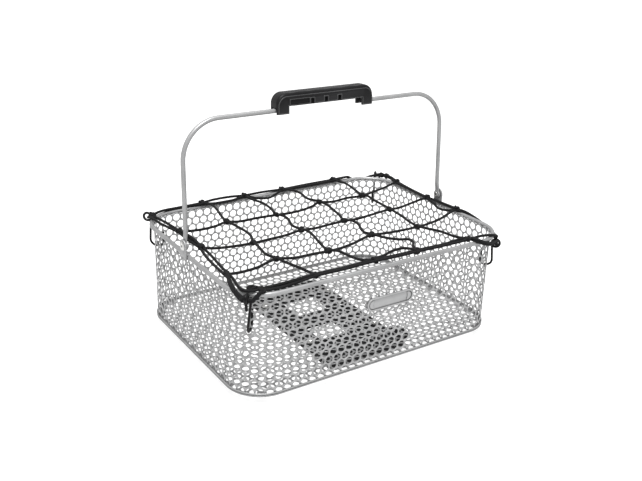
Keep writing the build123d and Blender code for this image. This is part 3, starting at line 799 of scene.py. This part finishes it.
def build_border(material):
    """The two strands of each side, with the slack that shows between their knots."""

    def ring(name, out=0.0, up=0.0):
        side_x, side_y, ring_out, ring_z, *_ = HOOKS[name]
        return tuple(corner_spot(side_x, side_y, ring_out + out, ring_z + up) * 1000)

    def moved(points, step):
        return [tuple(np.add(p, step)) for p in points]

    def run(knots, side, bows):
        """A strand beside the knots; each bow is (fraction of the way, stray sideways, rise)."""
        points = []
        for start, end, bow in zip(knots, knots[1:], bows):
            a, b = Vector(start), Vector(end)
            along = (b - a).normalized()
            across = Vector((-along.y, along.x, 0)).normalized()
            points.append(a + across * side)
            for t, stray, rise in bow:
                points.append(a.lerp(b, t) + across * stray + Vector((0, 0, rise)))
        points.append(Vector(knots[-1]) + across * side)
        return points

    def at(spots):
        return [(x, y, BORDER_Z) for x, y in spots]

    back, right, front, left = at(BACK), at(RIGHT), at(FRONT[::-1]), at(LEFT[::-1])
    back_left = [ring("back_left", -1.5, -1.0), (-176, 147.2, 152.6), (-150, 150.6, 152.2)]
    back_right = [(146, 151.0, 153.2), (153, 153.9, 150.2), (160, 154.8, 146.2), (172, 152.6, 145.8),
                  (182, 148.2, 147.2), (189, 141.5, 151.4), (196, 134.6, 153.4)]
    right_start = [ring("back_right", -1.5, 1.0), (201.5, 130.6, 153.8), (206.0, 115.0, 153.4)]
    right_end = [(206.2, -62, 152.6), (208.6, -74, 150.2), (209.2, -86, 148.0), (209.2, -97, 145.8),
                 (207.8, -112, 143.2), (201.5, -130, 140.6), ring("front_right", -0.5, 3.0)]
    front_upper = [ring("front_right", -2.0, 3.8), (190.0, -144.2, 145.5), (182.6, -146.9, 149.4),
                   (170, -146.6, 151.8), (157, -145.4, 152.6)]
    front_lower = [ring("front_right", -1.5, 0.6), (189.5, -144.6, 137.6), (179.5, -149.2, 139.8),
                   (170, -152.9, 141.4), (162.5, -154.8, 143.8), (153.5, -155.7, 147.0),
                   (145.6, -154.1, 150.6)]
    near_front = [(-182.4, -147.2, 150.8), (-186.9, -147.0, 146.8), (-190.5, -145.9, 143.6),
                  ring("front_left", -0.8, -2.2)]
    near_left = [ring("front_left", -0.8, -2.2), (-200.9, -142.6, 145.2), (-202.2, -134.6, 146.4),
                 (-203.0, -125.0, 149.8), (-201.2, -113.0, 152.6), (-197.4, -100.5, 153.2)]
    far_left = [(-190.6, 104, 153.0), (-194.2, 130, 153.4), ring("back_left", -1.5, -1.0)]
    sides = {
        "back": (back_left, back, back_right,
                 [[(0.3, 2.6, 1.6), (0.7, 2.4, 1.5)], [(0.5, 2.6, 0.4)], [(0.5, 2.2, 0.2)]],
                 [[(0.3, -3.6, -2.2), (0.7, -3.2, -2.2)],
                  [(0.3, -6.5, -4.5), (0.6, -8.5, -6.0), (0.85, -4.5, -2.6)], [(0.5, -1.9, -0.5)]]),
        "right": (right_start, right, right_end,
                  [[(0.5, 1.7, -0.9)], [(0.35, 1.8, 0.2), (0.7, 1.8, 0.2)]],
                  [[(0.5, -1.5, 0.2)], [(0.25, -3.5, -2.0), (0.55, -8.0, -5.4), (0.85, -5.0, -3.8)]]),
        "front": (front_upper, front, near_front,
                  [[(0.5, 2.0, -0.4)], [(0.5, 2.0, -0.4)], [(0.5, 2.0, -0.4)],
                   [(0.35, 3.4, -0.6), (0.7, 4.2, -0.6)]],
                  [[(0.5, -1.7, -0.4)], [(0.5, -1.7, -0.4)], [(0.5, -1.8, -0.4)], [(0.5, 1.8, -0.3)]]),
        "left": (near_left, left, far_left,
                 [[(0.3, 3.0, -0.5), (0.7, 3.4, -0.6)], [(0.5, 2.4, -0.4)]],
                 [[(0.3, -2.6, -0.3), (0.7, -3.4, -0.4)], [(0.5, -2.4, -0.4)]]),
    }
    for name, (first, knots, last, outer, inner) in sides.items():
        routes = []
        for side, bows in ((STRAND_OFFSET, outer), (-STRAND_OFFSET, inner)):
            lift = (0, 0, side * 0.65)
            if name == "back":
                lift = (0, 0.5 + side * 0.6, -0.1 - side * 0.25)
            start, end = moved(first, lift), moved(last, lift)
            if name == "front" and side < 0:
                start = front_lower
            if name == "right":
                end = moved(last, (0, 0, side - STRAND_OFFSET))
            if name == "left":
                end = [tuple(np.add(p, (-side * spread, 0, 0))) for p, spread in zip(last, (2.0, 1.1, 0.4))]
            routes.append(start + run(knots, side, bows) + end)
        if name == "front":
            loose = [(50.7, -139.0, 154.0), (41, -127.5, 153.6), (24, -126.5, 153.2), (3, -133.5, 153.4),
                     (-13.6, -137, 154.4)]
            doubled = moved(front_lower, (0.6, -0.8, 2.9)) + [(138, -142.5, 155.4)]
            third = [(-102.6, -139.5, 154.6), (-122, -141.6, 154.8), (-150, -143.4, 154.8),
                     (-176, -143.4, 154.8)]
            short_cut = [(-176.5, -142.0, 153.6), (-184.8, -141.6, 153.4), (-191.4, -138.6, 153.0),
                         (-196.2, -130.0, 153.0), (-195.6, -119.0, 153.0), (-192.2, -105.5, 153.0),
                         (-190.2, -90.0, 153.6)]
            tail = [(-175.5, -140.5, 153.2), (-179, -134.2, 153.2), (-184.4, -131.4, 154.4),
                    (-189.2, -132.2, 153.6), (-187.6, -134.8, 152.6), (-181.5, -134.6, 152.8)]
            routes += [loose, doubled, third, short_cut, tail]
        if name == "left":
            bundle = [(-184.4, 64, 154.9), (-181.6, 45, 154.9), (-181.2, 22, 154.9), (-183.2, 2, 155.2)]
            stub = [(-200.0, -139.0, 147.6), (-199.6, -145.2, 144.8), (-199.0, -146.6, 140.4),
                    (-198.8, -146.8, 134.4)]
            wrap = moved(near_left[:-1], (0.8, 0.8, 3.0)) + [(-192, -86, 155.6)]
            routes += [bundle, stub, wrap]
        cord_object(f"cord_border_{name}", [cord(route) for route in routes], material, f"net_border_{name}")


def knot(centre, size, turn, tilt):
    """A pulled-tight overhand knot: the cord wound over itself three times."""
    points = []
    for step in range(72):
        t = 2 * math.pi * step / 72
        reach = 2.0 + 0.95 * math.cos(3 * t)
        points.append(Vector((reach * math.cos(2 * t), reach * math.sin(2 * t), 1.5 * math.sin(3 * t))))
    place = Matrix.Translation(Vector(centre) / 1000)
    place = place @ Matrix.Rotation(turn, 4, "Z") @ Matrix.Rotation(tilt, 4, "X")
    return pipe([place @ (p * size / 1000) for p in points], CORD * 0.86 * size, 10, closed=True)


def build_knots(material):
    spread = np.random.default_rng(7)
    inner = [(x, y, (LONG_Z + SHORT_Z) / 2 - 0.2) for row in INNER for x, y in row]
    border = [(x, y, BORDER_Z + 1.2) for x, y in BACK + RIGHT + LEFT]
    border += [(x, y, BORDER_Z + 0.3) for x, y in FRONT]
    border += [(-191.5, 138.5, 153.0), (199.2, 131.6, 153.8), (205.0, 123.2, 153.8), (-199.6, -140.4, 146.4),
               (186.6, -144.6, 138.0)]
    for name, centres in (("knots_inner", inner), ("knots_border", border)):
        parts = []
        for centre in centres:
            size = 1.2 + spread.uniform(-0.06, 0.1)
            parts.append(knot(centre, size, spread.uniform(0, 2 * math.pi), spread.uniform(-0.5, 0.5)))
        cord_object(name, parts, material, f"net_{name}")


# ---- Materials ----


class Nodes:
    """A small helper that writes a Principled material node by node."""

    def __init__(self, name, metallic=0.0, specular=0.5, coat=0.0, coat_roughness=0.1, sheen=0.0):
        self.material = bpy.data.materials.new(name)
        self.material.use_nodes = True
        self.tree = self.material.node_tree
        self.shader = self.tree.nodes["Principled BSDF"]
        values = {"Metallic": metallic, "Specular IOR Level": specular, "Coat Weight": coat,
                  "Coat Roughness": coat_roughness, "Sheen Weight": sheen, "Sheen Roughness": 0.5}
        for socket, value in values.items():
            self.shader.inputs[socket].default_value = value
        self.place = self.tree.nodes.new("ShaderNodeTexCoord").outputs["Object"]

    def add(self, kind, inputs=(), **settings):
        node = self.tree.nodes.new(kind)
        for key, value in settings.items():
            setattr(node, key, value)
        for socket, value in dict(inputs).items():
            if isinstance(value, bpy.types.NodeSocket):
                self.tree.links.new(value, node.inputs[socket])
            else:
                node.inputs[socket].default_value = value
        return node

    def noise(self, scale, detail=3.0, roughness=0.5):
        inputs = {"Vector": self.place, "Scale": scale, "Detail": detail, "Roughness": roughness}
        return self.add("ShaderNodeTexNoise", inputs).outputs["Fac"]

    def ramp(self, source, low, high, start, end):
        """start below low, end above high, and evenly between."""
        inputs = {"Value": source, "From Min": low, "From Max": high, "To Min": start, "To Max": end}
        return self.add("ShaderNodeMapRange", inputs).outputs["Result"]

    def mottle(self, scale, detail, low, high, start=0.0, end=1.0):
        """Soft patches that go from start to end."""
        return self.ramp(self.noise(scale, detail), low, high, start, end)

    def math(self, operation, a, b=0.0):
        return self.add("ShaderNodeMath", {0: a, 1: b}, operation=operation).outputs[0]

    def mix(self, factor, first, second):
        """A blend of two colours, each a socket or red, green and blue."""
        first, second = (c if isinstance(c, bpy.types.NodeSocket) else (*c, 1.0) for c in (first, second))
        return self.add("ShaderNodeMix", {0: factor, 6: first, 7: second}, data_type="RGBA").outputs[2]

    def bump(self, height, distance, strength=1.0, under=None):
        inputs = {"Height": height, "Distance": distance, "Strength": strength}
        if under is not None:
            inputs["Normal"] = under
        return self.add("ShaderNodeBump", inputs).outputs["Normal"]

    def finish(self, colour, roughness, normal):
        for socket, value in (("Base Color", colour), ("Roughness", roughness), ("Normal", normal)):
            self.tree.links.new(value, self.shader.inputs[socket])
        return self.material


def worn_edges(nodes, low, high):
    """1 on sharp outside edges, 0 elsewhere."""
    pointiness = nodes.add("ShaderNodeNewGeometry").outputs["Pointiness"]
    return nodes.ramp(pointiness, low, high, 0.0, 1.0)


def painted_steel(name, dark, light, metallic, rough_low, rough_high, flake):
    """Silver powder coat: fine flake, a soft orange-peel skin, edges where the coat thins, and painted shade
    towards grazing angles and in tight corners.
    """
    nodes = Nodes(name, metallic=metallic, specular=0.5, coat=0.12, coat_roughness=0.28)
    cloud = nodes.mottle(38, 4.0, 0.32, 0.68)
    flecks = nodes.ramp(nodes.noise(2600, 2.0, 0.7), 0.35, 0.7, 0.0, 1.0)
    blend = nodes.math("ADD", nodes.math("MULTIPLY", cloud, 0.55), nodes.math("MULTIPLY", flecks, 0.45))
    colour = nodes.mix(blend, dark, light)
    brighter = tuple(min(1.0, c * 1.16) for c in light)
    colour = nodes.mix(nodes.math("MULTIPLY", worn_edges(nodes, 0.54, 0.62), 0.35), colour, brighter)
    # Painted shade: the colour darkens towards grazing angles, standing in for the dark surroundings that the
    # coat would reflect.
    facing = nodes.add("ShaderNodeLayerWeight", {"Blend": 0.4}).outputs["Facing"]
    colour = nodes.mix(nodes.ramp(facing, 0.3, 0.95, 0.0, 0.5), colour, tuple(c * 0.4 for c in dark))
    # Painted shade: darker in tight corners and recesses, such as the badge's sunken field and the joints
    # between parts.
    corners = nodes.add("ShaderNodeAmbientOcclusion", {"Distance": 0.0022}, samples=6).outputs["AO"]
    colour = nodes.mix(nodes.ramp(corners, 0.45, 0.95, 0.75, 0.0), colour, tuple(c * 0.25 for c in dark))
    roughness = nodes.mottle(420, 3.0, 0.3, 0.7, rough_low, rough_high)
    peel = nodes.bump(nodes.noise(640, 2.0), 0.00006, 0.55)
    normal = nodes.bump(flecks, 0.00002 * flake, 0.5, peel)
    return nodes.finish(colour, roughness, normal)


def moulded_plastic(name, dark, light, rough_low, rough_high, grain, coat):
    """Black moulding: fine spark-eroded grain, faint flow marks and rubbed edges."""
    nodes = Nodes(name, specular=0.1, coat=coat, coat_roughness=0.22)
    flow = nodes.mottle(26, 4.0, 0.3, 0.7)
    colour = nodes.mix(flow, dark, light)
    rubbed = tuple(c * 2.2 for c in light)
    colour = nodes.mix(nodes.math("MULTIPLY", worn_edges(nodes, 0.52, 0.6), 0.5), colour, rubbed)
    roughness = nodes.mottle(240, 3.0, 0.3, 0.7, rough_low, rough_high)
    coarse = nodes.bump(nodes.noise(900, 3.0, 0.6), 0.00005 * grain, 0.7)
    normal = nodes.bump(nodes.noise(3200, 2.0, 0.6), 0.00002 * grain, 0.6, coarse)
    return nodes.finish(colour, roughness, normal)


def zinc_steel(name):
    """Plated fasteners: lightly turned, with a little dulling."""
    nodes = Nodes(name, metallic=0.9, specular=0.5)
    patches = nodes.mottle(210, 4.0, 0.35, 0.65)
    colour = nodes.mix(patches, (0.42, 0.42, 0.41), (0.60, 0.60, 0.59))
    roughness = nodes.mottle(520, 3.0, 0.3, 0.7, 0.26, 0.46)
    normal = nodes.bump(nodes.noise(2400, 2.0), 0.00002, 0.5)
    return nodes.finish(colour, roughness, normal)


def braided_cord(name):
    """Woven elastic cord: two sets of strands crossing round it, over a slightly furry black yarn."""
    nodes = Nodes(name, specular=0.06, sheen=0.02)
    uv = nodes.add("ShaderNodeTexCoord").outputs["UV"]
    split = nodes.add("ShaderNodeSeparateXYZ", {0: uv})
    around = nodes.math("MULTIPLY", split.outputs[0], 8.0 * 2 * math.pi)
    along = nodes.math("MULTIPLY", split.outputs[1], 2 * math.pi / 0.0021)
    first = nodes.math("SINE", nodes.math("ADD", around, along))
    second = nodes.math("SINE", nodes.math("SUBTRACT", around, along))
    weave = nodes.math("MAXIMUM", first, second)
    lift = nodes.ramp(weave, -0.6, 1.0, 0.0, 1.0)
    fuzz = nodes.noise(2200, 3.0, 0.7)
    # Painted shade: the yarn is darker down in the grooves between the raised strands and lighter on their
    # crests.
    colour = nodes.mix(lift, (0.004, 0.004, 0.0042), (0.012, 0.012, 0.0125))
    patch = nodes.math("MULTIPLY", nodes.mottle(90, 3.0, 0.4, 0.7), 0.3)
    colour = nodes.mix(patch, colour, (0.018, 0.018, 0.0185))
    roughness = nodes.ramp(fuzz, 0.3, 0.7, 0.58, 0.85)
    woven = nodes.bump(lift, 0.00022, 0.8)
    normal = nodes.bump(fuzz, 0.00005, 0.5, woven)
    return nodes.finish(colour, roughness, normal)


def dipped_wire(name):
    """Black enamelled wire: glossy, a little lumpy."""
    nodes = Nodes(name, specular=0.12, coat=0.03, coat_roughness=0.12)
    patches = nodes.mottle(160, 3.0, 0.35, 0.65)
    colour = nodes.mix(patches, (0.003, 0.003, 0.0033), (0.007, 0.007, 0.0073))
    roughness = nodes.mottle(500, 3.0, 0.3, 0.7, 0.24, 0.4)
    normal = nodes.bump(nodes.noise(420, 2.0), 0.00008, 0.6)
    return nodes.finish(colour, roughness, normal)


# ---- Build ----

steel = painted_steel("silver_coat", (0.21, 0.211, 0.213), (0.31, 0.311, 0.313), 0.4, 0.36, 0.48, 1.0)
plate_metal = painted_steel("badge_silver", (0.26, 0.261, 0.263), (0.34, 0.341, 0.343), 0.4, 0.28, 0.38, 0.6)
zinc = zinc_steel("zinc_plate")
grip_plastic = moulded_plastic(
    "grip_black", (0.005, 0.005, 0.0053), (0.010, 0.010, 0.0105), 0.36, 0.5, 1.0, 0.0)
# The raised lines get a lighter copy of the grip's black: rubbed paler in use, with a painted highlight along
# them.
grip_lines_worn_and_lit = moulded_plastic(
    "grip_lines_worn_and_highlight", (0.022, 0.022, 0.0225), (0.04, 0.04, 0.041), 0.3, 0.42, 0.8, 0.1)
adapter_plastic = moulded_plastic(
    "adapter_black", (0.0025, 0.0025, 0.0028), (0.006, 0.006, 0.0063), 0.5, 0.65, 1.4, 0.0)
cord_black = braided_cord("elastic_black")
wire_black = dipped_wire("wire_black")

build_wall(steel)
build_floor(steel)
build_rim(steel)
build_hem(steel)
build_straps(steel, zinc)
build_bail(steel)
build_grip_beads(grip_plastic, grip_lines_worn_and_lit)
build_badge(plate_metal)
build_hooks(wire_black)
build_cords(cord_black)
build_border(cord_black)
build_knots(cord_black)

carried = {
    "grip_shell": (grip_plastic, 0.0004),
    "adapter_plate": (adapter_plastic, 0.0004),
    "release_tab": (adapter_plastic, 0.0005),
    "adapter_washers": (zinc, 0.0001),
    "adapter_screws": (zinc, 0.0001),
    "adapter_nuts": (zinc, 0.0002),
}
for node, (material, width) in carried.items():
    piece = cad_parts[node]
    piece.data.materials.clear()
    piece.data.materials.append(material)
    soften(node, width)

# ---- Stage, light and camera ----

scene = bpy.context.scene
scene.view_settings.view_transform = "Standard"
scene.view_settings.look = "None"


def floor_material():
    nodes = Nodes("pale_floor", specular=0.2)
    soft = nodes.noise(3, 2.0)
    colour = nodes.mix(soft, (0.34, 0.34, 0.34), (0.38, 0.38, 0.38))
    nodes.shader.inputs["Emission Color"].default_value = (1.0, 1.0, 1.0, 1.0)
    nodes.shader.inputs["Emission Strength"].default_value = 0.8
    roughness = nodes.ramp(soft, 0.3, 0.7, 0.7, 0.8)
    return nodes.finish(colour, roughness, nodes.bump(nodes.noise(200, 2.0), 0.00005, 0.2))


ground_mesh = bpy.data.meshes.new("ground")
ground_mesh.from_pydata([(-12, -12, 0), (12, -12, 0), (12, 12, 0), (-12, 12, 0)], [], [(0, 1, 2, 3)])
ground = bpy.data.objects.new("ground", ground_mesh)
scene.collection.objects.link(ground)
ground.data.materials.append(floor_material())

world = bpy.data.worlds.new("studio")
world.use_nodes = True
background = world.node_tree.nodes["Background"]
background.inputs["Color"].default_value = (1.0, 1.0, 1.0, 1.0)
background.inputs["Strength"].default_value = 0.7
scene.world = world


def softbox(name, place, target, size, watts):
    light = bpy.data.lights.new(name, "AREA")
    light.shape = "RECTANGLE"
    light.size, light.size_y = size
    light.energy = watts
    lamp = bpy.data.objects.new(name, light)
    scene.collection.objects.link(lamp)
    lamp.matrix_world = axis_matrix(place, Vector(place) - Vector(target))


softbox("key", (-0.5, -0.7, 2.3), (0, 0, 0.12), (0.7, 0.6), 86)
softbox("overhead", (0.2, 0.3, 2.4), (0, 0, 0.1), (2.2, 1.6), 14)

camera = bpy.data.objects.new("camera", bpy.data.cameras.new("camera"))
scene.collection.objects.link(camera)
scene.camera = camera
forward = Vector((0.517, 0.7671, -0.3798)).normalized()
side = forward.cross(Vector((0.1851, 0.333, 0.9246))).normalized()
camera.matrix_world = axis_matrix((-0.5997, -0.8872, 0.5661), -forward, side)
camera.data.sensor_width = 36
camera.data.lens = 46.78
camera.data.clip_end = 60
